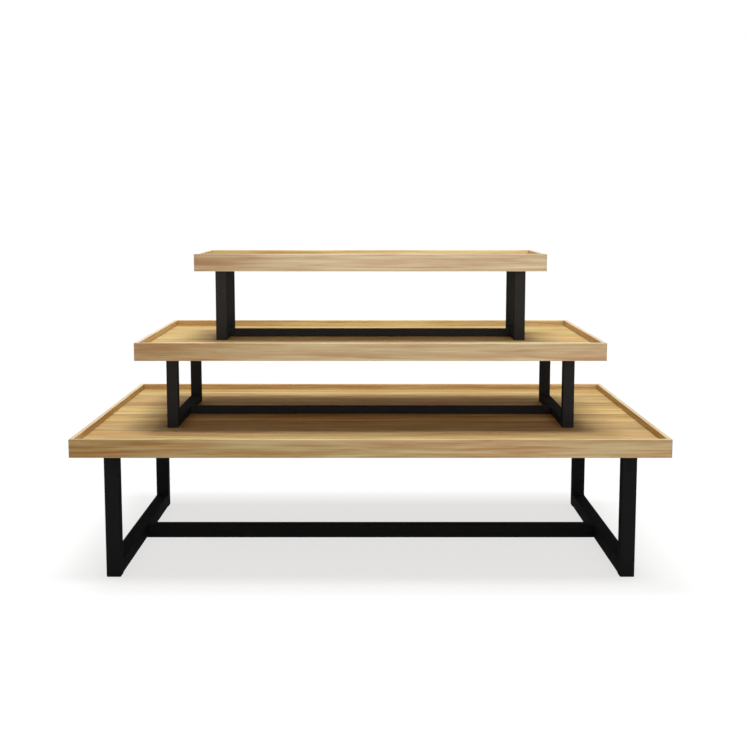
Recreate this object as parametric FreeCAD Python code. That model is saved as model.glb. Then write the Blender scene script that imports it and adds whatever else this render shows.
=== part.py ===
"""Tiered display table: three free-standing tray tables that stand in one another.

The lower table stands on the floor, the middle riser stands on the deck of its tray,
and the upper riser stands on the deck of the middle tray. Each of the three is a
timber tray on two steel side frames that a stretcher joins at the bottom.

Millimetres, +X to the right, +Y to the back, +Z up. The origin lies on the floor under
the middle of the table.
"""
import FreeCAD, Part
import os
from collections import namedtuple

V = FreeCAD.Vector
ORIGIN = V(0, 0, 0)

# --- Driving dimensions ------------------------------------------------------------

# Trays: outside width (X) and depth (Y), and the height of the rim's top edge above
# the surface that the unit stands on.
LOWER_WIDTH = 1800.0
LOWER_DEPTH = 1200.0
LOWER_HEIGHT = 455.0
MIDDLE_WIDTH = 1470.0
MIDDLE_DEPTH = 812.0
MIDDLE_HEIGHT = 288.0
UPPER_WIDTH = 1145.0
UPPER_DEPTH = 400.0
UPPER_HEIGHT = 288.0

# Tray boards.
RIM_HEIGHT = 56.0
RIM_THICKNESS = 13.0
RIM_EDGE_RADIUS = 1.5
DECK_RECESS = 20.0          # from the rim's top edge down to the deck
DECK_THICKNESS = 18.0
GROOVE_DEPTH = 5.0          # how far the deck's edge is let into the rim
CORNER_BLOCK_LEG = 45.0

# Steel sections: square legs, and bars between them.
LOWER_LEG = 45.0
LOWER_BAR_WIDTH = 45.0
LOWER_BAR_HEIGHT = 45.0
LOWER_STRETCHER = 45.0
LOWER_WALL = 2.0
LOWER_TUBE_RADIUS = 3.0
RISER_LEG = 36.0
RISER_BAR_WIDTH = 36.0
RISER_BAR_HEIGHT = 25.0
RISER_STRETCHER = 25.0
RISER_WALL = 1.5
RISER_TUBE_RADIUS = 2.25

# How far the legs' outer faces stand in from the tray's outer faces.
LOWER_END_INSET = 79.0
LOWER_FRONT_INSET = 112.0
MIDDLE_END_INSET = 80.0
MIDDLE_FRONT_INSET = 117.0
UPPER_END_INSET = 60.0
UPPER_FRONT_INSET = 70.0

# Glides: a flange under the leg and a plug inside it.
GLIDE_FLANGE_HEIGHT = 2.0
GLIDE_FLANGE_INSET = 0.8
GLIDE_PLUG_HEIGHT = 14.0
GLIDE_PLUG_CLEARANCE = 0.2

# Bolts from the floor bars into the threaded plugs in the stretcher's ends.
LOWER_BOLT_DIAMETER = 8.0
LOWER_BOLT_HEAD_DIAMETER = 14.0
LOWER_BOLT_HEAD_HEIGHT = 4.4
RISER_BOLT_DIAMETER = 6.0
RISER_BOLT_HEAD_DIAMETER = 10.5
RISER_BOLT_HEAD_HEIGHT = 3.3
BOLT_ENGAGEMENT = 18.0
BOLT_HOLE_CLEARANCE = 0.25  # on the radius, in the bars' walls
BOLT_HEAD_EDGE = 1.2
THREAD_CLEARANCE = 0.05     # on the radius, where a thread bites
PLUG_LENGTH = 24.0
PLUG_CLEARANCE = 0.1

# Screws up through the top bars into the deck.
SCREW_DIAMETER = 5.0
SCREW_HEAD_DIAMETER = 10.0
SCREW_HEAD_HEIGHT = 3.2
SCREW_BITE = 12.0           # how far the screw runs into the deck
SCREW_END_MARGIN = 55.0     # from a leg's inner face to the nearest screw
LOWER_SCREWS_PER_BAR = 3
RISER_SCREWS_PER_BAR = 2

# --- The three units ---------------------------------------------------------------

Unit = namedtuple("Unit", """
    name stand_z width depth height end_inset front_inset
    leg bar_width bar_height stretcher wall tube_radius
    bolt_diameter bolt_head_diameter bolt_head_height screws_per_bar
    """)


def deck_top(unit):
    """Height of the deck's top face above the floor."""
    return unit.stand_z + unit.height - DECK_RECESS


def deck_bottom(unit):
    """Height of the deck's underside, on which the side frames bear."""
    return deck_top(unit) - DECK_THICKNESS


def steel_bottom(unit):
    """Height of the underside of the steel frame, which stands on the glides."""
    return unit.stand_z + GLIDE_FLANGE_HEIGHT


def leg_outer_x(unit):
    """Distance from the middle to a side frame's outer face."""
    return unit.width / 2 - unit.end_inset


def leg_outer_y(unit):
    """Distance from the middle to the front and back faces of a side frame."""
    return unit.depth / 2 - unit.front_inset


def bar_centre_x(unit):
    """Middle of the floor and top bars, which are flush with the legs' outer faces."""
    return leg_outer_x(unit) - unit.bar_width / 2


def stretcher_half_length(unit):
    """Distance from the middle to the inner face of a floor bar."""
    return leg_outer_x(unit) - unit.bar_width


def stretcher_centre_z(unit):
    """Height of the stretcher's axis, and of the bolts in its ends."""
    return steel_bottom(unit) + unit.stretcher / 2


LOWER = Unit(
    name="lower", stand_z=0.0,
    width=LOWER_WIDTH, depth=LOWER_DEPTH, height=LOWER_HEIGHT,
    end_inset=LOWER_END_INSET, front_inset=LOWER_FRONT_INSET,
    leg=LOWER_LEG, bar_width=LOWER_BAR_WIDTH, bar_height=LOWER_BAR_HEIGHT,
    stretcher=LOWER_STRETCHER, wall=LOWER_WALL, tube_radius=LOWER_TUBE_RADIUS,
    bolt_diameter=LOWER_BOLT_DIAMETER, bolt_head_diameter=LOWER_BOLT_HEAD_DIAMETER,
    bolt_head_height=LOWER_BOLT_HEAD_HEIGHT, screws_per_bar=LOWER_SCREWS_PER_BAR)


def riser(name, carrier, width, depth, height, end_inset, front_inset):
    """A smaller unit that stands on the deck of its carrier."""
    return Unit(
        name=name, stand_z=deck_top(carrier),
        width=width, depth=depth, height=height,
        end_inset=end_inset, front_inset=front_inset,
        leg=RISER_LEG, bar_width=RISER_BAR_WIDTH, bar_height=RISER_BAR_HEIGHT,
        stretcher=RISER_STRETCHER, wall=RISER_WALL, tube_radius=RISER_TUBE_RADIUS,
        bolt_diameter=RISER_BOLT_DIAMETER, bolt_head_diameter=RISER_BOLT_HEAD_DIAMETER,
        bolt_head_height=RISER_BOLT_HEAD_HEIGHT, screws_per_bar=RISER_SCREWS_PER_BAR)


MIDDLE = riser("middle", LOWER, MIDDLE_WIDTH, MIDDLE_DEPTH, MIDDLE_HEIGHT,
               MIDDLE_END_INSET, MIDDLE_FRONT_INSET)
UPPER = riser("upper", MIDDLE, UPPER_WIDTH, UPPER_DEPTH, UPPER_HEIGHT,
              UPPER_END_INSET, UPPER_FRONT_INSET)

# --- Basic shapes ------------------------------------------------------------------


def centred_box(size_x, size_y, size_z, bottom_z):
    """A box centred on the Z axis, standing on bottom_z."""
    return Part.makeBox(size_x, size_y, size_z, V(-size_x / 2, -size_y / 2, bottom_z))


def rounded_bar(width, depth, length, radius):
    """A bar centred on the origin along Z, with its four long edges rounded."""
    bar = centred_box(width, depth, length, -length / 2)
    long_edges = [edge for edge in bar.Edges
                  if abs(edge.tangentAt(edge.FirstParameter).z) > 0.5]
    return bar.makeFillet(radius, long_edges)


def tube(width, depth, length, wall, radius):
    """A rectangular tube centred on the origin along Z."""
    bore = rounded_bar(width - 2 * wall, depth - 2 * wall, length, radius - wall / 2)
    return rounded_bar(width, depth, length, radius).cut(bore)


def along_x(shape):
    """Turn a shape made along Z to lie along X, its width along Y and depth along Z."""
    turned = shape.copy()
    turned.rotate(ORIGIN, V(1, 1, 1), 120)
    return turned


def along_y(shape):
    """Turn a shape made along Z to lie along Y, its width still along X."""
    turned = shape.copy()
    turned.rotate(ORIGIN, V(1, 0, 0), 90)
    return turned


def moved(shape, x, y, z):
    """A copy of the shape, moved."""
    copy = shape.copy()
    copy.translate(V(x, y, z))
    return copy


def mirrored_x(shape):
    """The shape's mirror image on the other side of the table."""
    return shape.mirror(ORIGIN, V(1, 0, 0))


def mirrored_y(shape):
    """The shape's mirror image at the other end of a side frame."""
    return shape.mirror(ORIGIN, V(0, 1, 0))


def four_corners(shape):
    """The shape in all four corners of the table, as separate solids."""
    left = [shape, mirrored_y(shape)]
    return Part.makeCompound(left + [mirrored_x(piece) for piece in left])


# --- Tray --------------------------------------------------------------------------


def screw_places(unit):
    """X and Y of every deck screw, spread evenly along both top bars."""
    reach = leg_outer_y(unit) - unit.leg - SCREW_END_MARGIN
    step = 2 * reach / (unit.screws_per_bar - 1)
    rows = [-reach + step * index for index in range(unit.screws_per_bar)]
    return [(side * bar_centre_x(unit), y) for side in (-1, 1) for y in rows]


def deck_board(unit):
    """The tray's deck, let into the rim all round, with pilot holes for its screws."""
    let_in = 2 * (RIM_THICKNESS - GROOVE_DEPTH)
    board = centred_box(unit.width - let_in, unit.depth - let_in,
                        DECK_THICKNESS, deck_bottom(unit))
    for x, y in screw_places(unit):
        board = board.cut(Part.makeCylinder(SCREW_DIAMETER / 2 + THREAD_CLEARANCE,
                                            SCREW_BITE, V(x, y, deck_bottom(unit))))
    return board


def rim_board(unit, length):
    """A mitred rim board along X, its outer face on y = 0, grooved for the deck."""
    top = unit.stand_z + unit.height
    bottom = top - RIM_HEIGHT
    board = Part.makeBox(length, RIM_THICKNESS, RIM_HEIGHT, V(-length / 2, 0, bottom))
    long_edges = [edge for edge in board.Edges
                  if abs(edge.tangentAt(edge.FirstParameter).x) > 0.5]
    board = board.makeFillet(RIM_EDGE_RADIUS, long_edges)
    groove = Part.makeBox(length, GROOVE_DEPTH, DECK_THICKNESS,
                          V(-length / 2, RIM_THICKNESS - GROOVE_DEPTH, deck_bottom(unit)))
    half = length / 2
    plan = [V(-half, 0, bottom), V(half, 0, bottom),
            V(half - RIM_THICKNESS, RIM_THICKNESS, bottom),
            V(-half + RIM_THICKNESS, RIM_THICKNESS, bottom)]
    mitred = Part.Face(Part.makePolygon(plan + plan[:1])).extrude(V(0, 0, RIM_HEIGHT))
    return board.cut(groove).common(mitred)


def rim_boards(unit):
    """The four boards of the rim, by the side of the tray that each closes."""
    front = moved(rim_board(unit, unit.width), 0, -unit.depth / 2, 0)
    left = rim_board(unit, unit.depth)
    left.rotate(ORIGIN, V(0, 0, 1), -90)
    left.translate(V(-unit.width / 2, 0, 0))
    return {"front": front, "back": mirrored_y(front),
            "left": left, "right": mirrored_x(left)}


def corner_blocks(unit):
    """Four triangular blocks glued under the deck, in the corners of the rim."""
    bottom = unit.stand_z + unit.height - RIM_HEIGHT
    inner_x = -unit.width / 2 + RIM_THICKNESS
    inner_y = -unit.depth / 2 + RIM_THICKNESS
    plan = [V(inner_x, inner_y, bottom),
            V(inner_x + CORNER_BLOCK_LEG, inner_y, bottom),
            V(inner_x, inner_y + CORNER_BLOCK_LEG, bottom)]
    face = Part.Face(Part.makePolygon(plan + plan[:1]))
    return four_corners(face.extrude(V(0, 0, deck_bottom(unit) - bottom)))


# --- Side frames -------------------------------------------------------------------


def left_front_leg(unit):
    """A leg from the glide up to the underside of the deck."""
    length = deck_bottom(unit) - steel_bottom(unit)
    leg = tube(unit.leg, unit.leg, length, unit.wall, unit.tube_radius)
    return moved(leg, -leg_outer_x(unit) + unit.leg / 2, -leg_outer_y(unit) + unit.leg / 2,
                 steel_bottom(unit) + length / 2)


def left_bar(unit, centre_z):
    """A bar along Y between the two legs of the left side frame."""
    length = 2 * (leg_outer_y(unit) - unit.leg)
    bar = along_y(tube(unit.bar_width, unit.bar_height, length, unit.wall, unit.tube_radius))
    return moved(bar, -bar_centre_x(unit), 0, centre_z)


def left_floor_bar(unit):
    """The bottom bar, drilled through both side walls for the stretcher's bolt."""
    bar = left_bar(unit, steel_bottom(unit) + unit.bar_height / 2)
    radius = unit.bolt_diameter / 2 + BOLT_HOLE_CLEARANCE
    hole = along_x(Part.makeCylinder(radius, unit.bar_width, V(0, 0, -unit.bar_width / 2)))
    return bar.cut(moved(hole, -bar_centre_x(unit), 0, stretcher_centre_z(unit)))


def left_top_bar(unit):
    """The bar under the deck, drilled through for the deck screws."""
    bottom = deck_bottom(unit) - unit.bar_height
    bar = left_bar(unit, bottom + unit.bar_height / 2)
    for x, y in screw_places(unit):
        if x < 0:
            bar = bar.cut(Part.makeCylinder(SCREW_DIAMETER / 2 + BOLT_HOLE_CLEARANCE,
                                            unit.bar_height, V(x, y, bottom)))
    return bar


def side_frames(unit):
    """Every tube of both side frames, by its node name."""
    leg = left_front_leg(unit)
    left = {"front_leg": leg, "back_leg": mirrored_y(leg),
            "floor_bar": left_floor_bar(unit), "top_bar": left_top_bar(unit)}
    frames = {}
    for name, shape in left.items():
        frames["left_" + name] = shape
        frames["right_" + name] = mirrored_x(shape)
    return frames


def leg_glides(unit):
    """Four plastic glides: a flange that the unit stands on and a plug up the leg."""
    bore = unit.leg - 2 * unit.wall
    flange_width = unit.leg - 2 * GLIDE_FLANGE_INSET
    plug_width = bore - 2 * GLIDE_PLUG_CLEARANCE
    flange = moved(rounded_bar(flange_width, flange_width, GLIDE_FLANGE_HEIGHT,
                               unit.tube_radius),
                   0, 0, GLIDE_FLANGE_HEIGHT / 2)
    plug = moved(rounded_bar(plug_width, plug_width, GLIDE_PLUG_HEIGHT,
                             unit.tube_radius - unit.wall / 2),
                 0, 0, GLIDE_FLANGE_HEIGHT + GLIDE_PLUG_HEIGHT / 2)
    glide = flange.fuse(plug).removeSplitter()
    return four_corners(moved(glide, -leg_outer_x(unit) + unit.leg / 2,
                              -leg_outer_y(unit) + unit.leg / 2, unit.stand_z))


# --- Stretcher and fasteners -------------------------------------------------------


def stretcher(unit):
    """The low tube that joins the floor bars of the two side frames."""
    length = 2 * stretcher_half_length(unit)
    bar = along_x(tube(unit.stretcher, unit.stretcher, length, unit.wall, unit.tube_radius))
    return moved(bar, 0, 0, stretcher_centre_z(unit))


def stretcher_plugs(unit):
    """The threaded plugs pressed into the stretcher's two ends."""
    width = unit.stretcher - 2 * unit.wall - 2 * PLUG_CLEARANCE
    plug = rounded_bar(width, width, PLUG_LENGTH, unit.tube_radius - unit.wall / 2)
    thread = Part.makeCylinder(unit.bolt_diameter / 2 + THREAD_CLEARANCE, PLUG_LENGTH,
                               V(0, 0, -PLUG_LENGTH / 2))
    left = moved(along_x(plug.cut(thread)), -stretcher_half_length(unit) + PLUG_LENGTH / 2,
                 0, stretcher_centre_z(unit))
    return Part.makeCompound([left, mirrored_x(left)])


def button_head(diameter, height):
    """A screw head standing on z = 0, its outer edge eased."""
    head = Part.makeCylinder(diameter / 2, height)
    rim = [edge for edge in head.Edges
           if abs(edge.BoundBox.ZMin - height) < 1e-6 and edge.Closed]
    return head.makeFillet(min(BOLT_HEAD_EDGE, height / 2), rim)


def stretcher_bolts(unit):
    """A bolt at each end, its head on the outer face of the floor bar."""
    head = button_head(unit.bolt_head_diameter, unit.bolt_head_height)
    length = unit.bar_width + BOLT_ENGAGEMENT
    shank = Part.makeCylinder(unit.bolt_diameter / 2, length, V(0, 0, -length))
    bolt = along_x(head.fuse(shank).removeSplitter())
    right = moved(bolt, leg_outer_x(unit), 0, stretcher_centre_z(unit))
    return Part.makeCompound([mirrored_x(right), right])


def deck_screws(unit):
    """The screws that hold the deck on the top bars, driven from below."""
    head = button_head(SCREW_HEAD_DIAMETER, SCREW_HEAD_HEIGHT)
    head.rotate(ORIGIN, V(1, 0, 0), 180)
    shank = Part.makeCylinder(SCREW_DIAMETER / 2, unit.bar_height + SCREW_BITE)
    screw = head.fuse(shank).removeSplitter()
    seat = deck_bottom(unit) - unit.bar_height
    return Part.makeCompound([moved(screw, x, y, seat) for x, y in screw_places(unit)])


# --- Assembly ----------------------------------------------------------------------


def unit_parts(unit):
    """Every piece of one unit, by its node name without the unit's prefix."""
    parts = {"deck_board": deck_board(unit)}
    for side, board in rim_boards(unit).items():
        parts["rim_" + side] = board
    parts["corner_blocks"] = corner_blocks(unit)
    parts.update(side_frames(unit))
    parts["leg_glides"] = leg_glides(unit)
    parts["stretcher"] = stretcher(unit)
    parts["stretcher_plugs"] = stretcher_plugs(unit)
    parts["stretcher_bolts"] = stretcher_bolts(unit)
    parts["deck_screws"] = deck_screws(unit)
    return parts


def main():
    os.makedirs("parts", exist_ok=True)
    for unit in (LOWER, MIDDLE, UPPER):
        for name, shape in unit_parts(unit).items():
            shape.exportStep("parts/" + unit.name + "_" + name + ".step")


main()
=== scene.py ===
"""Looks of the tiered display table: its timber, steel, fasteners, welds and studio.

The file is laid out as an add-on and is run as a script around the table's frame. The
frame gives every CAD node in metres, +X to the right, +Y to the back and +Z up, with
the origin on the floor. Timber, tubes, plugs and glides are the CAD nodes themselves
with a finish of their own. Bolts and deck screws are made again with their sockets and
rounded heads, and the frames get the weld beads between their tubes.
"""
import math

import bpy
import numpy as np
from bpy.props import (FloatProperty, FloatVectorProperty, IntProperty,
                       PointerProperty)
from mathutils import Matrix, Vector


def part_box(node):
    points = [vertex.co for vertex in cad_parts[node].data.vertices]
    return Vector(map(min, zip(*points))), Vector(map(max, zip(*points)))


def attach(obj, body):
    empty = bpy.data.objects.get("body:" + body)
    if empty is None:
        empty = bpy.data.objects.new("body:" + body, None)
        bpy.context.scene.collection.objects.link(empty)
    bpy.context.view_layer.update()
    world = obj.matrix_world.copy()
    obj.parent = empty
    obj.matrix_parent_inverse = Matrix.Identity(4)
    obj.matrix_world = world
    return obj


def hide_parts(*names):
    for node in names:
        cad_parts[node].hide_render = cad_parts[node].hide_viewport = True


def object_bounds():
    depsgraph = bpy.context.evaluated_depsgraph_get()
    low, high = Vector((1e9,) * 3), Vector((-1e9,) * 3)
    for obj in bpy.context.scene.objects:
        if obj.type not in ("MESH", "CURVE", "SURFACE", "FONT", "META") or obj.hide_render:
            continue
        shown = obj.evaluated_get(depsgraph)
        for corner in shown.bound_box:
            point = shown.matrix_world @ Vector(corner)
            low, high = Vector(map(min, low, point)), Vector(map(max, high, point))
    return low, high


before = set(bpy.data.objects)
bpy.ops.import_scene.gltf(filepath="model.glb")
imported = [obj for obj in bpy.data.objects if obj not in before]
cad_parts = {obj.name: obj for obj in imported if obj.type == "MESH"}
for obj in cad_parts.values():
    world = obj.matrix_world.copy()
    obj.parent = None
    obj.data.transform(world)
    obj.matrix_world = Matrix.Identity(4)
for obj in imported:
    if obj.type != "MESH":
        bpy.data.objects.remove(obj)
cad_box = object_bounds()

bl_info = {
    "name": "Tiered Display Table",
    "version": (1, 0, 0),
    "blender": (4, 5, 0),
    "location": "3D View > Sidebar > Display Table",
    "description": "Finishes, fasteners and studio of a tiered display table",
    "category": "Object",
}

BODIES = {"lower": "lower_table", "middle": "middle_riser", "upper": "upper_riser"}
TUBES = ("left_front_leg", "left_back_leg", "left_floor_bar", "left_top_bar",
         "right_front_leg", "right_back_leg", "right_floor_bar", "right_top_bar",
         "stretcher")

# Painted light: factors on value and saturation of a unit's rims, lighter and paler
# for the upper units, and of the rim board on each side, the right one painted darker
# and the back and left ones lighter.
RIM_LIGHT_TONE = {"lower": (0.84, 1.03), "middle": (1.04, 0.90), "upper": (1.27, 0.76)}
SIDE_LIGHT_TONE = {"front": (1.0, 1.0), "back": (1.08, 1.0), "left": (1.06, 1.14),
             "right": (0.92, 1.28)}
# Painted light on a back board's inner face: what it adds to value, saturation and hue.
BACK_INNER_LIGHT = {"lower": (0.48, -0.04, 0.0), "middle": (0.36, 0.0, 0.014),
              "upper": (0.46, 0.0, 0.022)}
# Factors on a deck's value and saturation, and what is added to its hue.
DECK_TONE = {"lower": (0.92, 1.0, 0.001), "middle": (1.10, 0.98, 0.008),
             "upper": (1.0, 1.0, 0.008)}
DECK_SEED = {"lower": 31, "middle": 11, "upper": 3}
RIM_SEED = 7
BLOCK_SEED = 11
# Painted light: factor on the plain coat's colour for each unit, upper frames lighter.
COAT_LIGHT_TONE = {"lower": 1.3, "middle": 3.0, "upper": 4.0}

# Timber noises: scale along the grain, scale across it, detail and roughness.
WANDER = (0.8, 3.0, 1.5, 0.5)
RIPPLE = (5.0, 26.0, 2.0, 0.5)
STREAK = (3.0, 90.0, 3.0, 0.6)
BAND = (3.8, 34.0, 2.0, 0.5)
BLOTCH = (1.3, 8.0, 2.0, 0.5)
FIBRE = (22.0, 650.0, 3.0, 0.6)
PORE = (70.0, 2100.0, 1.0, 0.5)
# Smooth steps, from and to: pores and streaks out of their noise, late wood over a
# ring's fraction, faces turned one way, rounded edges.
PORE_STEP = (0.66, 0.78)
STREAK_STEP = (0.36, 0.64)
LATE_RISE = (0.25, 0.88)
LATE_DROP = (0.92, 1.0)
FACING_STEP = (0.5, 0.95)
EDGE_STEP = (0.01, 0.22)
# What each part of the grain adds, at its full strength, to the share of dark wood,
# and to a timber's value, hue, saturation, roughness and height.
DARK_OF = {"ring": 1.0, "heavy_streak": 0.62, "band": 0.82}
# Lighter edges: wear on the rounded edges, painted highlight there and on the top faces.
VALUE_OF = {"stave": 0.34, "blotch": 0.26, "fibre": 0.16, "pore": -0.10,
            "joint": -0.34, "wear_and_highlight": 1.0}
HUE_OF = {"stave": 0.014, "blotch": -0.040, "band": -0.034, "streak_tint": -0.044,
          "wear_and_highlight": 0.06}
STRENGTH_OF = {"streak": 0.16, "band": 0.2, "wear_and_highlight": -1.0}
ROUGHNESS_OF = {"late": -0.07, "fibre": 0.18, "pore": 0.1, "edges": 0.06}
HEIGHT_OF = {"fibre": 0.9, "late": -0.35, "pore": -0.8, "joint": -1.6}
PLAIN_DARKNESS = 0.01
LATE_DARKNESS = (0.14, 0.44)    # a late ring's dark share, and what a streak adds
JOINT_CORE = 0.3                # share of a glue line's width that is fully dark
END_SHADE_EDGE = (0.4, 0.3)         # how far wander and band stir the painted end shade's edge
END_SHADE_STRENGTH = 0.6            # saturation that the painted end shade adds as it darkens
END_SHADE_HUE = 0.0086              # and how far it turns the hue to red

STAVE_SWAY = 0.17               # how far a joint between staves strays, in staves
STAVE_SWAY_RATE = 2.3           # radians of that sway from one stave to the next
STAVE_SHIFT = 9.0               # most that a stave's grain is slid along it, in metres
STAVE_PITH = (0.11, 0.07)       # room in which a stave's pith lies, across and up
SOFT_JOINT = (0.012, 0.09)      # width and depth of a stave's darkening to its joint
GRAIN_SLIDE = 2.7               # metres along the grain from one seed to the next
DECK_SEED_STEP = 1.7            # factor on a deck's seed
DECK_PITH_HEIGHT = 0.05         # highest pith of a deck's staves above its top face
RIM_PITH_BEHIND = (0.05, 0.09)  # how far inside a rim board its pith lies
RIM_PITH_LEVEL = (-0.03, 0.03)  # and how far above its middle
BLOCK_PITH = (0.03, 0.04)       # pith of the corner blocks, to the side and below

# Coat noises: scale, detail and roughness. The peel's scale is that of its beads.
COAT_PEEL = (2.0, 0.45)
COAT_BROAD = (9.0, 3.0, 0.55)
COAT_SCUFF = (55.0, 4.0, 0.7)
PEEL_STEP = (0.34, 0.66)
WORN_EDGE_STEP = (0.40, 0.62)
SCUFF_STEP = (0.60, 0.76)
TURNED_STEP = (0.5, 1.0)
COAT_MOTTLE = 0.56              # swing of the coat's value from bead to bead
WORN_OF = {"worn_edge": 0.5, "dust": 0.10, "scuff_mark": 0.25}
COAT_ROUGHNESS_OF = {"broad": 0.16, "peel": 0.12, "turned": 0.3}

# Small parts: noise of the fine texture and of the clouds (scale, detail, roughness),
# factor on the clouds' colour, their smooth step, swing of the roughness, and relief.
TUMBLED = ((1900.0, 2.0, 0.6), (240.0, 2.0, 0.5), 0.62, (0.4, 0.7), 0.25, 0.00003)
MOULDED = ((1400.0, 3.0, 0.6), (60.0, 2.0, 0.5), 1.7, (0.35, 0.75), 0.2, 0.00006)

SHANK_OF_BOLT_HEAD = 0.571      # an 8 mm shank for a 14 mm head
BOLT_ENGAGEMENT = 0.018         # how far a bolt reaches into its plug
FASTENER_COLUMNS = 96
ARC_POINTS = 9                  # points round a head's dome and a bead's section
HEAD_FLAT = 0.66                # share of a head's radius that is flat on top
HEAD_EDGE = 0.28                # height of a head's side, as a share of the whole
CREASE_ANGLE = math.radians(32)
BEAD_MARGIN = 0.0012            # a bead stops short of the tube's rounded corners
BEAD_ROOT = 0.0003              # how far a bead's root lies inside both tubes
BEAD_LEAN = 0.0003              # how far a ripple's middle is drawn along the bead
BEAD_RIPPLE = 0.05              # share by which a bead thins between its ripples
BEAD_START = 0.35               # square of a bead's size at its ends
BEAD_STEPS = 6                  # rows of a bead's skin in each ripple
WHITE = (1.0, 1.0, 1.0, 1.0)


def srgb(red, green, blue):
    """Scene-linear colour of an sRGB colour that is given from 0 to 255."""
    shown = np.array((red, green, blue)) / 255
    linear = np.where(shown <= 0.04045, shown / 12.92, ((shown + 0.055) / 1.055) ** 2.4)
    return tuple(float(value) for value in linear)


# --- Settings ----------------------------------------------------------------------


def length(name, description, default):
    """A length in metres."""
    return FloatProperty(name=name, description=description, default=default,
                         min=0.0, unit="LENGTH", precision=4)


def share(name, description, default, highest=1.0):
    """A plain share or strength."""
    return FloatProperty(name=name, description=description, default=default,
                         min=0.0, max=highest)


def angle(name, description, degrees):
    """An angle, given here in degrees."""
    return FloatProperty(name=name, description=description,
                         default=math.radians(degrees), subtype="ANGLE")


def colour(name, description, default):
    """A colour, kept scene-linear."""
    return FloatVectorProperty(name=name, description=description, default=default,
                               subtype="COLOR", size=3, min=0.0, max=1.0)


class TimberSettings(bpy.types.PropertyGroup):
    """Colours and grain of the trays' timber."""

    deck_pale: colour("Deck Early Wood", "Pale wood of the decks' staves",
                      srgb(224, 196, 146))
    deck_dark: colour("Deck Late Wood", "Darker growth lines of the decks' staves",
                      srgb(180, 144, 94))
    rim_pale: colour("Rim Early Wood", "Pale wood of the rim boards",
                     srgb(222, 194, 146))
    rim_dark: colour("Rim Late Wood", "Darker growth lines of the rim boards",
                     srgb(188, 152, 102))
    block_pale: colour("Block Early Wood", "Pale wood of the corner blocks",
                       srgb(222, 195, 150))
    block_dark: colour("Block Late Wood", "Darker growth lines of the corner blocks",
                       srgb(190, 150, 100))
    stave_width: length("Stave Width", "Mean width of the staves glued into a deck",
                        0.085)
    ring_spacing: length("Ring Spacing", "Distance between two growth rings", 0.0048)
    ring_wander: length("Ring Wander", "How far the rings stray along a board", 0.030)
    ring_ripple: length("Ring Ripple", "Height of the rings' small waves", 0.0030)
    joint_width: length("Joint Width", "Width of a glue line", 0.0009)
    relief: length("Grain Relief", "Height of the fibres, pores and joints", 0.00022)
    # Painted shade: the front and back boards are painted darker and redder towards their
    # left end, over this reach and by this depth.
    end_shade_reach: share("Heartwood Reach",
                       "Share of a board over which its dark heartwood fades", 0.42)
    end_shade_depth: share("Heartwood Depth", "How much darker the heartwood is", 0.27)
    deck_roughness: share("Deck Roughness", "Roughness of the decks' dull lacquer",
                          0.80)
    rim_roughness: share("Rim Roughness", "Roughness of the rims' satin lacquer", 0.44)


class SteelSettings(bpy.types.PropertyGroup):
    """Powder coat, fasteners and plastic."""

    coat: colour("Powder Coat", "Colour of the coated steel", (0.0110, 0.0110, 0.0115))
    coat_dust: colour("Worn Coat", "Colour of the coat where it is rubbed or dusty",
                      (0.026, 0.025, 0.024))
    coat_roughness: share("Coat Roughness", "Roughness of the powder coat", 0.54)
    coat_gloss: share("Coat Gloss", "Reflection of the powder coat", 0.014)
    # Painted shade: the coat is painted darker on faces turned up and to the ends.
    top_painted_shade: share("Top Shade", "How much darker the coat is on faces turned up",
                     0.62)
    end_painted_shade: share("Side Shade",
                      "How much darker the coat is on faces turned to the ends", 0.42)
    peel_size: length("Peel Size", "Size of the coat's fine orange peel", 0.0011)
    peel_relief: length("Peel Relief", "Height of the coat's orange peel", 0.00016)
    bolt: colour("Bolt", "Colour of the black bolts", (0.02, 0.02, 0.021))
    zinc: colour("Zinc", "Colour of the zinc-plated screws", (0.60, 0.61, 0.63))
    glide: colour("Glide", "Colour of the plastic glides", (0.018, 0.018, 0.019))
    plug: colour("Plug", "Colour of the plastic stretcher plugs", (0.025, 0.025, 0.026))


class FastenerSettings(bpy.types.PropertyGroup):
    """Sockets of the fasteners and beads of the welds."""

    bolt_socket: share("Bolt Socket", "Width of a bolt's hexagon socket in its head",
                       0.42)
    screw_socket: share("Screw Socket", "Width of a screw's star recess in its head",
                        0.46)
    socket_depth: share("Socket Depth", "Depth of a recess in its head", 0.6)
    lower_screws: IntProperty(name="Lower Screws", default=3, min=2,
                              description="Deck screws in a lower table's top bar")
    riser_screws: IntProperty(name="Riser Screws", default=2, min=2,
                              description="Deck screws in a riser's top bar")
    lower_bead: length("Lower Bead", "Leg of the lower frame's weld beads", 0.0042)
    riser_bead: length("Riser Bead", "Leg of the risers' weld beads", 0.0030)
    ripple_pitch: length("Ripple Pitch", "Distance between two ripples of a bead",
                         0.0022)


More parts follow.
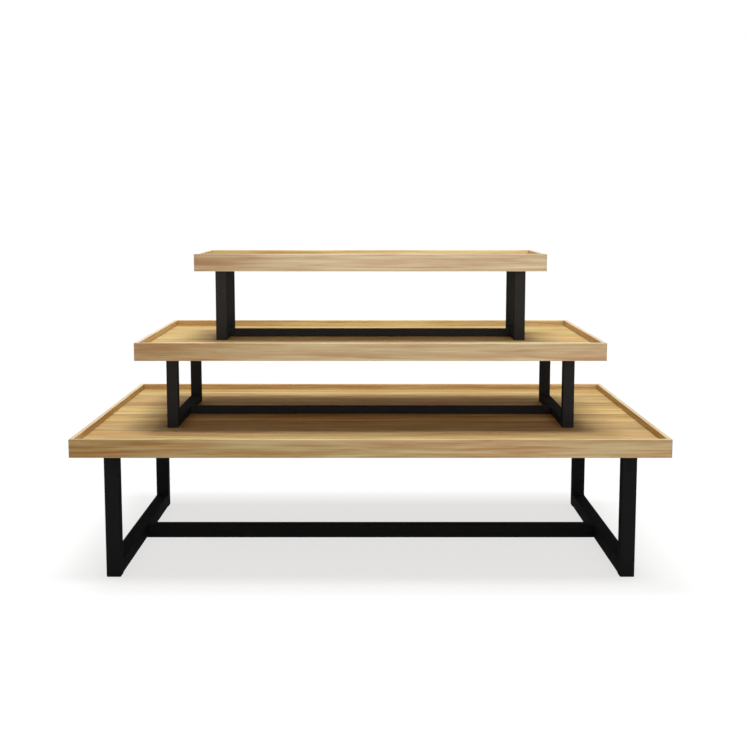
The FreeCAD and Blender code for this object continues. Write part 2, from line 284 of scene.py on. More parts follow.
class StudioSettings(bpy.types.PropertyGroup):
    """Camera, light and floor."""

    lens: FloatProperty(name="Lens", description="Focal length of the camera",
                        default=60.73, unit="CAMERA")
    distance: length("Camera Distance", "From the table's middle to the camera", 4.291)
    height: length("Camera Height", "Height of the camera above the floor", 1.139)
    pitch: angle("Camera Pitch", "How far the camera looks down", 7.2)
    shift: FloatProperty(name="Camera Shift", description="Sideways shift of the frame",
                         default=0.0034)
    world_strength: share("Room Light", "Even light from all round", 0.26)
    front_key: share("Front Key", "Light of the overhead key nearer the front",
                     0.50, 5.0)
    back_key: share("Back Key", "Light of the overhead key nearer the back",
                    0.34, 5.0)
    key_lean: angle("Key Lean", "How far the keys lean to the front and back", 8.5)
    key_side: angle("Key Side", "How far the front key leans right, the back one left",
                    8)
    key_softness: angle("Key Softness", "Width of each key", 18)
    fill_strength: share("Fill Light", "Light that the fill gives a face turned to it",
                         0.17, 5.0)
    fill_place: FloatVectorProperty(name="Fill Place", unit="LENGTH", size=3,
                                    description="Middle of the broad fill light",
                                    default=(1.0, -4.0, 1.1))
    fill_width: length("Fill Width", "Width of the broad fill light", 2.4)
    floor_width: length("Floor Width", "Width of the floor", 400.0)
    floor: colour("Floor", "Colour of the pale floor as it lights the table",
                  (0.62, 0.62, 0.62))
    floor_seen: share("Floor Seen", "Colour of the pale floor as it is seen", 1.0, 2.0)
    floor_glow: share("Floor White", "Share of plain white in the floor that is seen",
                      0.7)


class TableSettings(bpy.types.PropertyGroup):
    """All settings of the display table."""

    timber: PointerProperty(type=TimberSettings)
    steel: PointerProperty(type=SteelSettings)
    fasteners: PointerProperty(type=FastenerSettings)
    studio: PointerProperty(type=StudioSettings)


# --- Materials ---------------------------------------------------------------------


class Value:
    """A number that varies over a surface; arithmetic on it adds Math nodes."""

    def __init__(self, nodes, socket):
        self.nodes = nodes
        self.socket = socket

    def math(self, operation, *operands):
        """One Math node."""
        return self.nodes.node("ShaderNodeMath", {"operation": operation},
                               dict(enumerate(operands)))

    def __add__(self, other):
        return self.math("ADD", self, other)

    def __sub__(self, other):
        return self.math("SUBTRACT", self, other)

    def __rsub__(self, other):
        return self.math("SUBTRACT", other, self)

    def __mul__(self, other):
        return self.math("MULTIPLY", self, other)

    def __truediv__(self, other):
        return self.math("DIVIDE", self, other)

    def __abs__(self):
        return self.math("ABSOLUTE", self)

    __radd__ = __add__
    __rmul__ = __mul__

    def least(self, other):
        """The smaller of two values."""
        return self.math("MINIMUM", self, other)

    def most(self, other):
        """The larger of two values."""
        return self.math("MAXIMUM", self, other)

    def sine(self):
        """The sine of the value in radians."""
        return self.math("SINE", self)

    def whole(self):
        """The whole number below the value."""
        return self.math("FLOOR", self)

    def fraction(self):
        """The part of the value above its whole number."""
        return self.math("FRACT", self)

    def root(self):
        """The square root."""
        return self.math("SQRT", self)

    def step(self, low, high):
        """A smooth step: 0 up to low, 1 from high."""
        return self.nodes.node(
            "ShaderNodeMapRange", {"interpolation_type": "SMOOTHSTEP"},
            {"Value": self, "From Min": low, "From Max": high})


def named(sockets, key):
    """The socket of a number, identifier or name."""
    if isinstance(key, int):
        return sockets[key]
    return next(socket for socket in sockets if key in (socket.identifier, socket.name))


class Nodes:
    """The nodes of a material or world being put together."""

    def __init__(self, owner):
        owner.use_nodes = True
        self.tree = owner.node_tree
        self.tree.nodes.clear()

    def node(self, kind, settings=None, inputs=None, output=0):
        """Add a node of a kind: its settings first, then what its sockets get."""
        node = self.tree.nodes.new(kind)
        for name, value in (settings or {}).items():
            setattr(node, name, value)
        for key, value in (inputs or {}).items():
            if isinstance(value, Value):
                self.tree.links.new(value.socket, named(node.inputs, key))
            else:
                named(node.inputs, key).default_value = value
        return None if output is None else Value(self, named(node.outputs, output))

    def seen_share(self):
        """1 for what the camera sees straight or in a reflection, 0 for light."""
        straight = self.node("ShaderNodeLightPath", output="Is Camera Ray")
        outputs = straight.socket.node.outputs
        return (straight.most(Value(self, outputs["Is Glossy Ray"]))
                .most(Value(self, outputs["Is Transmission Ray"])))

    def shaders_mixed(self, first, second, factor):
        """The first shader going over into the second."""
        return self.node("ShaderNodeMixShader", inputs={0: factor, 1: first, 2: second})


class Finish(Nodes):
    """A material being put together round one Principled BSDF."""

    def __init__(self, name):
        self.material = bpy.data.materials.new(name)
        super().__init__(self.material)
        self.place = self.node("ShaderNodeTexCoord", output="Object")
        self.normal = self.node("ShaderNodeTexCoord", output="Normal")

    def parts(self, vector):
        """The three parts of a vector."""
        split = self.node("ShaderNodeSeparateXYZ", inputs={"Vector": vector})
        return [Value(self, part) for part in split.socket.node.outputs]

    def vector(self, x, y, z):
        """A vector from three values."""
        return self.node("ShaderNodeCombineXYZ", inputs={"X": x, "Y": y, "Z": z})

    def noise(self, place, scale, detail, roughness):
        """Fractal noise between 0 and 1."""
        return self.node("ShaderNodeTexNoise", {"noise_dimensions": "3D"},
                         {"Vector": place, "Scale": scale, "Detail": detail,
                          "Roughness": roughness}, "Fac")

    def mix(self, first, second, factor):
        """The first colour going over into the second."""
        colours = [value if isinstance(value, Value) else (*value, 1.0)
                   for value in (first, second)]
        return self.node("ShaderNodeMix", {"data_type": "RGBA"},
                         {"Factor_Float": factor, "A_Color": colours[0],
                          "B_Color": colours[1]}, "Result_Color")

    def toned(self, base, hue, saturation, value):
        """A colour with its hue, saturation and value changed."""
        return self.node("ShaderNodeHueSaturation", inputs={
            "Hue": hue, "Saturation": saturation, "Value": value, "Color": base})

    def rounded_edges(self):
        """1 on the rounded edges of a squared piece, 0 on its flat faces.

        A flat face has a normal along one axis; on an edge no part of the normal is
        near 1, so the mask is a step of 1 - the largest part.
        """
        x, y, z = self.parts(self.normal)
        return (1 - abs(x).most(abs(y)).most(abs(z))).step(*EDGE_STEP)

    def finished(self, base, roughness, height, relief, constants):
        """Join what varies to the shader, set its constants and give the material."""
        normal = self.node("ShaderNodeBump", inputs={
            "Height": height, "Distance": relief, "Strength": 1.0})
        shader = self.node("ShaderNodeBsdfPrincipled", inputs={
            "Base Color": base, "Roughness": roughness, "Normal": normal,
            **constants})
        self.node("ShaderNodeOutputMaterial", inputs={"Surface": shader}, output=None)
        return self.material


def weighed(start, parts, weights):
    """A start value with every weighted part added to it."""
    return sum((parts[name] * weight for name, weight in weights.items()), start)


def glued_staves(finish, side, stave_width, seed):
    """Split a deck into staves of uneven width.

    position = side / width + a slow sine, which makes some staves wider than others;
    its whole number is the stave, and the rest is the place across the stave. Gives
    the stave's three random numbers, the distance from its middle, and from its edge.
    """
    sway = (side * (STAVE_SWAY_RATE / stave_width) + seed).sine() * STAVE_SWAY
    position = side / stave_width + sway
    stave = position.whole()
    across = position - stave
    chance = finish.parts(finish.node(
        "ShaderNodeTexWhiteNoise", {"noise_dimensions": "1D"},
        {"W": stave + seed}, "Color"))
    middle = (across - 0.5) * stave_width
    edge = across.least(1 - across) * stave_width
    return chance, middle, edge


def sawn_timber(name, pale, dark, grain, pith, seed, timber, joints, staves=False,
                wear_and_highlight_strength=0.0, dullness=0.8, gloss=0.1, tone=1.0, strength=1.0,
                polish=0.0, painted_end_shade=None, yellow=0.0, front_face_light=None):
    """Sawn timber with its grain along X or Y.

    Growth rings are cylinders round a pith line beside the board: radius = distance
    from the pith + a slow noise that wanders along the grain. Its fraction of the ring
    spacing rises from pale early wood to dark late wood and drops at the ring's end.
    Long streaks, bands, blotches, fibres and pores are noise drawn out along the grain.
    joints takes x and y and gives the distance to the nearest glued joint. tone,
    strength and yellow are factors on value and saturation and a turn of hue; on the rims
    they also carry painted light. The painted end shade gives the end where it starts and
    how far along it fades: towards that end the board is painted darker, more saturated
    and redder. The front face light is what value, saturation and hue gain on a face
    turned to the front, a painted light.
    """
    finish = Finish(name)
    x, y, z = finish.parts(finish.place)
    along, side = (x, y) if grain == "X" else (y, x)
    gap = joints(x, y)
    if staves:
        chance, middle, edge = glued_staves(finish, side, timber.stave_width, seed)
        along = along + chance[0] * STAVE_SHIFT
        from_pith = middle + (chance[1] - 0.5) * STAVE_PITH[0]
        above_pith = z + (chance[2] * STAVE_PITH[1] - pith[1])
        gap = gap.least(edge)
        stave_tone = chance[2] - 0.5
        tone = tone - (1 - edge.step(0.0, SOFT_JOINT[0])) * SOFT_JOINT[1]
    else:
        from_pith = side - pith[0]
        above_pith = z - pith[1]
        stave_tone = 0.0
    drawn = finish.vector(along + seed * GRAIN_SLIDE, side, z)

    def grain_noise(along_scale, across_scale, detail, roughness):
        scaled = finish.node("ShaderNodeVectorMath", {"operation": "MULTIPLY"}, {
            0: drawn, 1: (along_scale, across_scale, across_scale)})
        return finish.noise(scaled, 1.0, detail, roughness)

    wander, ripple, band, blotch, fibre = (
        grain_noise(*noise) - 0.5 for noise in (WANDER, RIPPLE, BAND, BLOTCH, FIBRE))
    streak = grain_noise(*STREAK)
    pore = grain_noise(*PORE).step(*PORE_STEP)
    radius = ((from_pith * from_pith + above_pith * above_pith).root()
              + wander * timber.ring_wander + ripple * timber.ring_ripple)
    phase = (radius / timber.ring_spacing).fraction()
    late = phase.step(*LATE_RISE) * (1 - phase.step(*LATE_DROP))
    edges = finish.rounded_edges()
    _, to_back, to_top = finish.parts(finish.normal)
    top = to_top.step(*FACING_STEP)
    parts = {
        "late": late, "ring": late * (LATE_DARKNESS[0] + streak * LATE_DARKNESS[1]),
        "streak": streak, "streak_tint": streak - 0.5,
        "heavy_streak": streak.step(*STREAK_STEP), "band": band, "blotch": blotch,
        "fibre": fibre, "pore": pore, "stave": stave_tone, "edges": edges,
        "joint": 1 - gap.step(timber.joint_width * JOINT_CORE, timber.joint_width),
        # Wear and painted highlight: rounded edges and top faces are painted lighter and
        # paler.
        "wear_and_highlight": (edges + top) * wear_and_highlight_strength}
    dark_share = weighed(PLAIN_DARKNESS, parts, DARK_OF)
    value = weighed(tone, parts, VALUE_OF)
    hue = weighed(0.5 + yellow, parts, HUE_OF)
    strength = weighed(strength, parts, STRENGTH_OF)
    # Painted shade: the board is painted darker, more saturated and redder towards one
    # end.
    if painted_end_shade:
        end, reach = painted_end_shade
        stir = wander * END_SHADE_EDGE[0] + band * END_SHADE_EDGE[1]
        end_shade_share = 1 - ((along - end) / reach + stir).step(0.0, 1.0)
        value = value * (1 - end_shade_share * timber.end_shade_depth)
        strength = strength + end_shade_share * timber.end_shade_depth * END_SHADE_STRENGTH
        hue = hue - end_shade_share * END_SHADE_HUE
    # Painted light: faces turned to the front are painted lighter.
    if front_face_light:
        front = (to_back * -1).step(*FACING_STEP)
        value, strength, hue = (
            plain + front * gain for plain, gain in zip((value, strength, hue), front_face_light))
    base = finish.toned(finish.mix(pale, dark, dark_share), hue, strength, value)
    roughness = weighed(dullness, parts, ROUGHNESS_OF) - top * polish
    height = weighed(0.0, parts, HEIGHT_OF)
    return finish.finished(base, roughness, height, timber.relief,
                           {"Specular IOR Level": gloss})


def coated_steel(name, steel, tone):
    """Black powder coat: fine orange peel, rubbed edges and a little dust on top.

    The peel is noise of the coat's bead size, in its relief and as a faint mottle;
    roughness varies with a broader noise. Scuffs are noise of a third size. Faces turned
    up and to the ends are painted darker, as painted shade, and tone is a per-unit factor
    that paints the upper frames lighter, as painted light.
    """
    finish = Finish(name)
    peel = finish.noise(finish.place, 1.0 / steel.peel_size, *COAT_PEEL)
    broad = finish.noise(finish.place, *COAT_BROAD)
    scuff = finish.noise(finish.place, *COAT_SCUFF)
    to_right, _, to_top = finish.parts(finish.normal)
    ends = abs(to_right).step(*TURNED_STEP)
    top = to_top.step(*TURNED_STEP)
    worn_edge = finish.rounded_edges() * scuff.step(*WORN_EDGE_STEP)
    worn = weighed(0.0, {"worn_edge": worn_edge, "dust": top * broad,
                         "scuff_mark": scuff.step(*SCUFF_STEP)}, WORN_OF)
    mottle = 1 - COAT_MOTTLE / 2 + peel.step(*PEEL_STEP) * COAT_MOTTLE
    # Painted shade: faces turned up and to the ends are painted darker.
    shade = 1 - top * steel.top_painted_shade - ends * steel.end_painted_shade
    coat = tuple(channel * tone for channel in steel.coat)
    base = finish.toned(finish.mix(coat, steel.coat_dust, worn), 0.5, 1.0,
                        mottle * shade)
    roughness = weighed(
        steel.coat_roughness,
        {"broad": broad - 0.5, "peel": peel - 0.5, "turned": top + ends},
        COAT_ROUGHNESS_OF)
    return finish.finished(base, roughness, peel, steel.peel_relief,
                           {"Specular IOR Level": steel.coat_gloss})


def clouded(name, tint, texture, roughness, constants):
    """Plated metal or moulded plastic, with a fine texture and faint clouds of colour.

    The clouds are broad noise between the tint and the tint times a factor. The fine
    noise swings the roughness and is the relief.
    """
    fine_noise, cloud_noise, factor, cloud_step, swing, relief = texture
    finish = Finish(name)
    fine = finish.noise(finish.place, *fine_noise)
    cloud = finish.noise(finish.place, *cloud_noise)
    cloud_tint = tuple(channel * factor for channel in tint)
    base = finish.mix(tint, cloud_tint, cloud.step(*cloud_step))
    return finish.finished(base, roughness + (fine - 0.5) * swing, fine, relief,
                           constants)


def dress(node, material):
    """Give a CAD node its finish, in its own material slots."""
    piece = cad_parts[node]
    if not piece.material_slots:
        piece.data.materials.append(material)
    for slot in piece.material_slots:
        slot.material = material


def tray_size(unit):
    """Half the width and half the depth of a unit's tray."""
    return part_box(unit + "_rim_front")[1].x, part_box(unit + "_rim_right")[1].y


# --- Mesh pieces -------------------------------------------------------------------


def add_piece(name, skins, material, body):
    """A finished piece of closed skins already in place, riding on its unit's body."""
    points = np.concatenate([skin for skin, _ in skins])
    starts = np.cumsum([0] + [len(skin) for skin, _ in skins])
    faces = [[index + int(start) for index in face]
             for start, (_, skin_faces) in zip(starts, skins) for face in skin_faces]
    mesh = bpy.data.meshes.new(name)
    mesh.from_pydata(points.tolist(), [], faces)
    mesh.polygons.foreach_set("use_smooth", np.ones(len(mesh.polygons), bool))
    mesh.materials.append(material)
    mesh.update()
    piece = bpy.data.objects.new(name, mesh)
    bpy.context.scene.collection.objects.link(piece)
    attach(piece, BODIES[body])
    return piece


def crease(piece):
    """Keep the sharp edges of a smooth-shaded piece sharp."""
    piece.data.set_sharp_from_angle(angle=CREASE_ANGLE)


def ring_faces(rows, columns):
    """Quads between the neighbouring rows of a grid whose columns close into rings."""
    row, column = np.meshgrid(np.arange(rows - 1), np.arange(columns), indexing="ij")
    after = (column + 1) % columns
    quads = np.stack([row * columns + column, row * columns + after,
                      (row + 1) * columns + after, (row + 1) * columns + column], -1)
    return quads.reshape(-1, 4).tolist()


def turned_fastener(radius, height, shank_radius, shank_length, socket, socket_depth,
                    star):
    """A screw on the Z axis, its head from z = 0 up and its shank below.

    The skin is radius(t, angle) and z(t): it starts in the middle of the recess, climbs
    the recess's wall, crosses the domed head, and goes down the shank to its tip. With
    six flats the wall's radius is the flats' half width / cos(angle from the nearest
    flat's middle); a star's is the half width x (1 + cos(6 angle) / 9).
    """
    columns = FASTENER_COLUMNS
    angle = np.linspace(0, 2 * math.pi, columns, endpoint=False)
    if star:
        wall = socket * (1 + np.cos(6 * angle) / 9)
    else:
        turn = math.pi / 3
        wall = socket / np.cos((angle + turn / 2) % turn - turn / 2)
    floor = height - socket_depth
    dome = np.linspace(0, math.pi / 2, ARC_POINTS)
    flat = radius * HEAD_FLAT
    dome_radius = flat + (radius - flat) * np.sin(dome)
    dome_height = height * (HEAD_EDGE + (1 - HEAD_EDGE) * np.cos(dome))
    plain = np.ones(columns)
    # the recess from its floor to its chamfered rim, the dome, then the seat and shank
    rows = [(wall * 0.55, floor - socket * 0.12), (wall * 0.97, floor),
            (wall, floor + 1e-4), (wall, height - 2.5e-4), (wall * 1.045, height)]
    rows += [(r * plain, z) for r, z in zip(dome_radius, dome_height)]
    rows += [(radius * plain, height * 0.05), (radius * 0.985 * plain, 0.0),
             (shank_radius * 1.02 * plain, 0.0), (shank_radius * plain, -2e-4),
             (shank_radius * plain, -shank_length * 0.97),
             (shank_radius * 0.7 * plain, -shank_length)]
    ring_radius = np.array([r for r, z in rows])
    ring_height = np.array([z for r, z in rows])[:, None] * plain
    rings = np.stack([ring_radius * np.cos(angle), ring_radius * np.sin(angle),
                      ring_height], -1).reshape(-1, 3)
    top = len(rings)
    ends = np.array([(0, 0, floor - socket * 0.2), (0, 0, -shank_length)])
    last = (len(rows) - 1) * columns
    around = [(column, (column + 1) % columns) for column in range(columns)]
    faces = [face[::-1] for face in ring_faces(len(rows), columns)]
    faces += [[top, here, after] for here, after in around]
    faces += [[top + 1, last + after, last + here] for here, after in around]
    return np.concatenate([rings, ends]), faces


def bead_skin(leg, bead_length, pitch):
    """A fillet weld's skin, in (along, first face, second face) coordinates.

    The section is a flat quarter: leg x (cos, sin) of the angle to the power 1.5,
    closed through a root just inside both tubes. Its size swells with each ripple,
    size = 1 - ripple depth x |sin(pi x along / pitch)|, and tapers at both ends.
    """
    rows = max(8, int(bead_length / pitch * BEAD_STEPS))
    along = np.linspace(0, 1, rows)[:, None]
    angle = np.linspace(0, math.pi / 2, ARC_POINTS)[None, :]
    ripple = 1 - BEAD_RIPPLE * np.abs(np.sin(math.pi * along * bead_length / pitch))
    end = np.minimum(1, np.minimum(along, 1 - along) * bead_length / leg + BEAD_START)
    size = leg * ripple * np.sqrt(end)
    first = size * np.cos(angle) ** 1.5
    second = size * np.sin(angle) ** 1.5
    lean = BEAD_LEAN * np.sin(math.pi * 2 * along * bead_length / pitch)
    leaning = along * bead_length + lean * np.sin(2 * angle)
    section = np.stack([leaning, first, second], -1)
    root = np.stack([along * bead_length, 0 * along - BEAD_ROOT,
                     0 * along - BEAD_ROOT], -1)
    skin = np.concatenate([section, root], 1)
    columns = skin.shape[1]
    faces = ring_faces(rows, columns)
    faces.append(list(range(columns))[::-1])
    faces.append([(rows - 1) * columns + column for column in range(columns)])
    return skin.reshape(-1, 3), faces


def laid_bead(start, run, first, second, leg, pitch):
    """One bead from start along run, between the faces along first and second."""
    run = np.asarray(run, float)
    bead_length = float(np.linalg.norm(run))
    skin, faces = bead_skin(leg, bead_length, pitch)
    axes = np.array([run / bead_length, first, second], float)
    if np.linalg.det(axes) < 0:
        faces = [face[::-1] for face in faces]
    return np.asarray(start, float) + skin @ axes, faces


def frame_beads(unit, leg, pitch):
    """Every bead of a unit's two side frames.

    Each end of a bar has one in the corner that the bar makes with its leg: over the
    floor bar and under the top bar.
    """
    beads = []
    for side in ("left", "right"):
        for bar, up in (("floor_bar", 1), ("top_bar", -1)):
            low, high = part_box(f"{unit}_{side}_{bar}")
            level = high.z if up > 0 else low.z
            for y, away in ((low.y, 1), (high.y, -1)):
                beads.append(laid_bead((low.x + BEAD_MARGIN, y, level),
                                       (high.x - low.x - 2 * BEAD_MARGIN, 0, 0),
                                       (0, away, 0), (0, 0, up), leg, pitch))
    return beads


# --- Operators ---------------------------------------------------------------------


class TABLE_OT_decks(bpy.types.Operator):
    """Finish the three decks as staves glued edge to edge"""

    bl_idname = "display_table.decks"
    bl_label = "Finish Decks"

    def execute(self, context):
        timber = context.scene.display_table.timber
        for unit, seed in DECK_SEED.items():
            half_width, half_depth = tray_size(unit)
            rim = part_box(unit + "_rim_front")
            board = rim[1].y - rim[0].y

            def to_rim(x, y, width=half_width - board, depth=half_depth - board):
                return (width - abs(x)).most(0.0).least((depth - abs(y)).most(0.0))

            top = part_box(unit + "_deck_board")[1].z
            tone, strength, yellow = DECK_TONE[unit]
            dress(unit + "_deck_board", sawn_timber(
                unit + "_deck_staves", timber.deck_pale, timber.deck_dark, "X",
                (0.0, top + DECK_PITH_HEIGHT), seed * DECK_SEED_STEP, timber, to_rim,
                staves=True, dullness=timber.deck_roughness, tone=tone,
                strength=strength, yellow=yellow))
        return {"FINISHED"}


class TABLE_OT_rims(bpy.types.Operator):
    """Finish the twelve rim boards, each with a grain of its own"""

    bl_idname = "display_table.rims"
    bl_label = "Finish Rim Boards"

    def execute(self, context):
        timber = context.scene.display_table.timber
        chance = np.random.default_rng(RIM_SEED)
        for unit in BODIES:
            half_width, half_depth = tray_size(unit)

            def to_mitre(x, y, width=half_width, depth=half_depth):
                return abs((width - abs(x)) - (depth - abs(y))) * math.sqrt(0.5)

            # Painted shade: the front and back boards are painted darker towards their
            # left end.
            reach = 2 * half_width * timber.end_shade_reach
            painted_end_shades = dict.fromkeys(("front", "back"), (-half_width, reach))
            for side in SIDE_LIGHT_TONE:
                low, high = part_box(f"{unit}_rim_{side}")
                middle = (low + high) / 2
                grain = "X" if side in ("front", "back") else "Y"
                across = middle.y if grain == "X" else middle.x
                behind = -math.copysign(chance.uniform(*RIM_PITH_BEHIND), across)
                pith = (across + behind, middle.z + chance.uniform(*RIM_PITH_LEVEL))
                # Painted light: the unit's and the side's factors on the rim board's value
                # and saturation.
                tone, strength = np.multiply(RIM_LIGHT_TONE[unit], SIDE_LIGHT_TONE[side])
                dress(f"{unit}_rim_{side}", sawn_timber(
                    f"{unit}_rim_{side}_timber", timber.rim_pale, timber.rim_dark,
                    grain, pith, chance.uniform(1, 9), timber, to_mitre,
                    # wear and painted highlight on the edges and tops
                    wear_and_highlight_strength=0.14, dullness=timber.rim_roughness, gloss=0.5,
                    tone=tone, strength=strength, polish=0.16, painted_end_shade=painted_end_shades.get(side),
                    # painted light on the back board's inner face
                    front_face_light=BACK_INNER_LIGHT[unit] if side == "back" else None))
        return {"FINISHED"}


class TABLE_OT_blocks(bpy.types.Operator):
    """Finish the glued corner blocks under the decks"""

    bl_idname = "display_table.blocks"
    bl_label = "Finish Corner Blocks"

    def execute(self, context):
        timber = context.scene.display_table.timber
        for seed, unit in enumerate(BODIES, BLOCK_SEED):
            low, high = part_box(unit + "_corner_blocks")

            def to_rim(x, y, width=high.x, depth=high.y):
                return (width - abs(x)).least(depth - abs(y)).most(0.0)

            # The corner blocks get faint wear and a painted highlight on their edges and
            # tops.
            dress(unit + "_corner_blocks", sawn_timber(
                unit + "_block_timber", timber.block_pale, timber.block_dark, "X",
                (BLOCK_PITH[0], low.z - BLOCK_PITH[1]), seed, timber, to_rim,
                wear_and_highlight_strength=0.05))
        return {"FINISHED"}


class TABLE_OT_frames(bpy.types.Operator):
    """Finish the steel tubes with their powder coat"""

    bl_idname = "display_table.frames"
    bl_label = "Finish Frames"

    def execute(self, context):
        steel = context.scene.display_table.steel
        for unit in BODIES:
            # Painted light: the unit's factor makes the upper frames' coat lighter.
            coat = coated_steel(unit + "_powder_coat", steel, COAT_LIGHT_TONE[unit])
            for tube in TUBES:
                dress(f"{unit}_{tube}", coat)
        return {"FINISHED"}


class TABLE_OT_welds(bpy.types.Operator):
    """Lay the weld beads between the bars and the legs"""

    bl_idname = "display_table.welds"
    bl_label = "Make Weld Beads"

    def execute(self, context):
        settings = context.scene.display_table.fasteners
        for unit in BODIES:
            coat = bpy.data.materials[unit + "_powder_coat"]
            leg = settings.lower_bead if unit == "lower" else settings.riser_bead
            add_piece(unit + "_weld_beads",
                      frame_beads(unit, leg, settings.ripple_pitch), coat, unit)
        return {"FINISHED"}


class TABLE_OT_bolts(bpy.types.Operator):
    """Make the button-head bolts that hold the stretchers"""

    bl_idname = "display_table.bolts"
    bl_label = "Make Stretcher Bolts"

    def execute(self, context):
        settings = context.scene.display_table
        black = clouded("black_bolt", settings.steel.bolt, TUMBLED, 0.38,
                        {"Metallic": 0.35})
        for unit in BODIES:
            low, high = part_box(unit + "_stretcher_bolts")
            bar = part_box(unit + "_right_floor_bar")
            seat = bar[1].x
            radius = (high.z - low.z) / 2
            head = high.x - seat
            points, faces = turned_fastener(
                radius, head, radius * SHANK_OF_BOLT_HEAD,
                seat - bar[0].x + BOLT_ENGAGEMENT,
                radius * settings.fasteners.bolt_socket,
                head * settings.fasteners.socket_depth, star=False)
            right = points[:, [2, 0, 1]] + (seat, 0.0, (low.z + high.z) / 2)
            left = right * (-1.0, 1.0, 1.0)
            turned_faces = [face[::-1] for face in faces]
            piece = add_piece(unit + "_socket_bolts",
                              [(right, faces), (left, turned_faces)], black, unit)
            crease(piece)
            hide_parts(unit + "_stretcher_bolts")
        return {"FINISHED"}


class TABLE_OT_screws(bpy.types.Operator):
    """Make the deck screws with their star recesses"""

    bl_idname = "display_table.screws"
    bl_label = "Make Deck Screws"

    def execute(self, context):
        settings = context.scene.display_table
        zinc = clouded("zinc_screw", settings.steel.zinc, TUMBLED, 0.34,
                       {"Metallic": 1.0})
        for unit in BODIES:
            low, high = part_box(unit + "_deck_screws")
            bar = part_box(unit + "_right_top_bar")
            head = bar[0].z - low.z
            x = (bar[0].x + bar[1].x) / 2
            radius = high.x - x
            count = (settings.fasteners.lower_screws if unit == "lower"
                     else settings.fasteners.riser_screws)
            points, faces = turned_fastener(
                radius, head, radius / 2, high.z - bar[0].z,
                radius * settings.fasteners.screw_socket,
                head * settings.fasteners.socket_depth, star=True)
            upside_down = points * (1.0, -1.0, -1.0)
            rows = np.linspace(low.y + radius, high.y - radius, count)
            skins = [(upside_down + (side * x, y, bar[0].z), faces)
                     for side in (-1, 1) for y in rows]
            piece = add_piece(unit + "_star_screws", skins, zinc, unit)
            crease(piece)
            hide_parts(unit + "_deck_screws")
        return {"FINISHED"}


class TABLE_OT_plastics(bpy.types.Operator):
    """Finish the glides under the legs and the plugs in the stretchers"""

    bl_idname = "display_table.plastics"
    bl_label = "Finish Glides and Plugs"

    def execute(self, context):
        steel = context.scene.display_table.steel
        glide = clouded("glide_plastic", steel.glide, MOULDED, 0.55, {})
        plug = clouded("plug_plastic", steel.plug, MOULDED, 0.55, {})
        for unit in BODIES:
            dress(unit + "_leg_glides", glide)
            dress(unit + "_stretcher_plugs", plug)
        return {"FINISHED"}


class TABLE_OT_studio(bpy.types.Operator):
    """Set up the floor, the soft light and the camera"""

    bl_idname = "display_table.studio"
    bl_label = "Make Studio"

    def execute(self, context):
        studio = context.scene.display_table.studio
        context.scene.view_settings.view_transform = "Standard"
        studio_world(studio)
        studio_floor(studio)
        key_light("front_key", studio.front_key, 1, studio)
        key_light("back_key", studio.back_key, -1, studio)
        fill_light(studio)
        studio_camera(context, studio)
        return {"FINISHED"}


def studio_world(studio):
    """An even room: white where the camera sees it, softer where it lights."""
    world = bpy.data.worlds.new("studio_room")
    nodes = Nodes(world)
    light, seen = (nodes.node("ShaderNodeBackground",
                              inputs={"Color": WHITE, "Strength": strength})
                   for strength in (studio.world_strength, 1.0))
    room = nodes.shaders_mixed(light, seen, nodes.seen_share())
    nodes.node("ShaderNodeOutputWorld", inputs={"Surface": room}, output=None)
    bpy.context.scene.world = world


def studio_floor(studio):
    """A plain pale floor that takes the table's shadow.

    It lights the table with its own colour. Where it is seen, it is part plain white
    and part a surface that shows the shadow.
    """
    half = studio.floor_width / 2
    mesh = bpy.data.meshes.new("studio_floor")
    mesh.from_pydata([(-half, -half, 0), (half, -half, 0), (half, half, 0),
                      (-half, half, 0)], [], [(0, 1, 2, 3)])
    floor = bpy.data.objects.new("studio_floor", mesh)
    bpy.context.scene.collection.objects.link(floor)
    material = bpy.data.materials.new("pale_floor")
    nodes = Nodes(material)
    lighting, shadowed = (nodes.node("ShaderNodeBsdfDiffuse", inputs={"Color": tint})
                          for tint in ((*studio.floor, 1.0),
                                       (*[studio.floor_seen] * 3, 1.0)))
    white = nodes.node("ShaderNodeEmission", inputs={"Strength": 1.0})
    seen = nodes.shaders_mixed(shadowed, white, studio.floor_glow)
    surface = nodes.shaders_mixed(lighting, seen, nodes.seen_share())
    nodes.node("ShaderNodeOutputMaterial", inputs={"Surface": surface}, output=None)
    mesh.materials.append(material)


def key_light(name, strength, way, studio):
    """A broad overhead key: way 1 leans to the front right, -1 to the back left."""
    light = bpy.data.lights.new(name, "SUN")
    light.energy = strength * math.pi
    light.angle = studio.key_softness
    key = bpy.data.objects.new(name, light)
    key.rotation_euler = (way * studio.key_lean, way * studio.key_side, 0)
    bpy.context.scene.collection.objects.link(key)


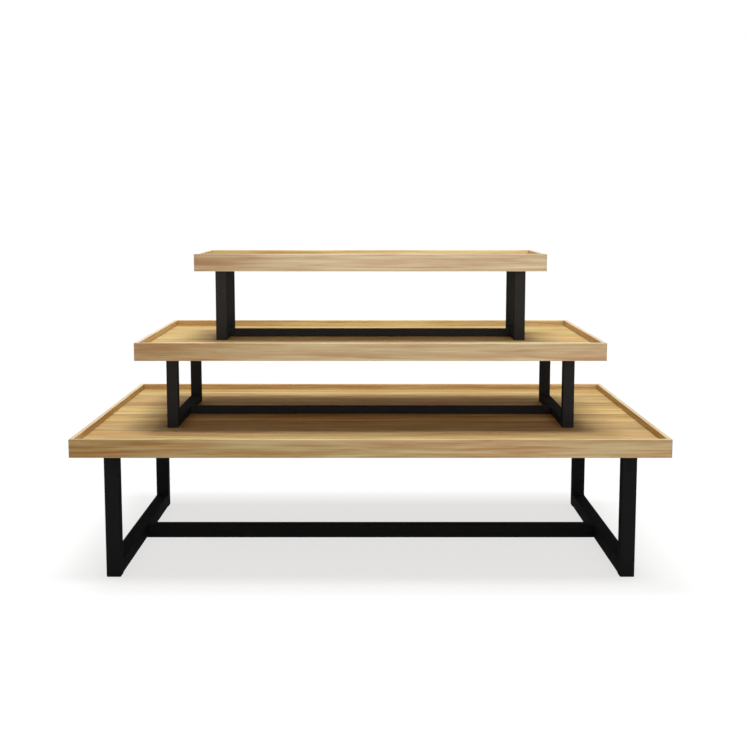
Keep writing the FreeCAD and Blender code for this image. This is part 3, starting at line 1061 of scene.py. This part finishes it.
def fill_light(studio):
    """A broad fill in front and to the right, aimed at the table's middle.

    By an area light of P watts a white face turned to it shows P / (pi squared x
    distance squared), so the energy is the wanted light times the rest.
    """
    place = Vector(studio.fill_place)
    aim = Vector((0.0, 0.0, (cad_box[0].z + cad_box[1].z) / 2)) - place
    light = bpy.data.lights.new("fill_light", "AREA")
    light.energy = studio.fill_strength * math.pi ** 2 * aim.length_squared
    light.size = studio.fill_width
    fill = bpy.data.objects.new("fill_light", light)
    fill.location = place
    fill.rotation_euler = aim.to_track_quat("-Z", "Y").to_euler()
    bpy.context.scene.collection.objects.link(fill)


def studio_camera(context, studio):
    """The camera in front of the table, looking a little down."""
    camera = bpy.data.cameras.new("camera")
    camera.lens = studio.lens
    camera.sensor_width = 36.0
    camera.shift_x = studio.shift
    camera.clip_end = studio.floor_width
    eye = bpy.data.objects.new("camera", camera)
    eye.location = (0.0, -studio.distance, studio.height)
    eye.rotation_euler = (math.pi / 2 - studio.pitch, 0, 0)
    context.scene.collection.objects.link(eye)
    context.scene.camera = eye


class TABLE_PT_panel(bpy.types.Panel):
    """Settings and steps of the display table"""

    bl_label = "Display Table"
    bl_idname = "TABLE_PT_panel"
    bl_space_type = "VIEW_3D"
    bl_region_type = "UI"
    bl_category = "Display Table"

    def draw(self, context):
        settings = context.scene.display_table
        for group in (settings.timber, settings.steel, settings.fasteners,
                      settings.studio):
            box = self.layout.box()
            for name in group.__annotations__:
                box.prop(group, name)
        for operator in OPERATORS:
            self.layout.operator(operator.bl_idname)


OPERATORS = (TABLE_OT_decks, TABLE_OT_rims, TABLE_OT_blocks, TABLE_OT_frames,
             TABLE_OT_welds, TABLE_OT_bolts, TABLE_OT_screws, TABLE_OT_plastics,
             TABLE_OT_studio)
CLASSES = (TimberSettings, SteelSettings, FastenerSettings, StudioSettings,
           TableSettings, *OPERATORS, TABLE_PT_panel)


def register():
    for cls in CLASSES:
        bpy.utils.register_class(cls)
    bpy.types.Scene.display_table = PointerProperty(type=TableSettings)


def unregister():
    del bpy.types.Scene.display_table
    for cls in reversed(CLASSES):
        bpy.utils.unregister_class(cls)


def main():
    """Register the classes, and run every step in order."""
    register()
    for operator in OPERATORS:
        group, step = operator.bl_idname.split(".")
        getattr(getattr(bpy.ops, group), step)()


if __name__ == "__main__":
    main()
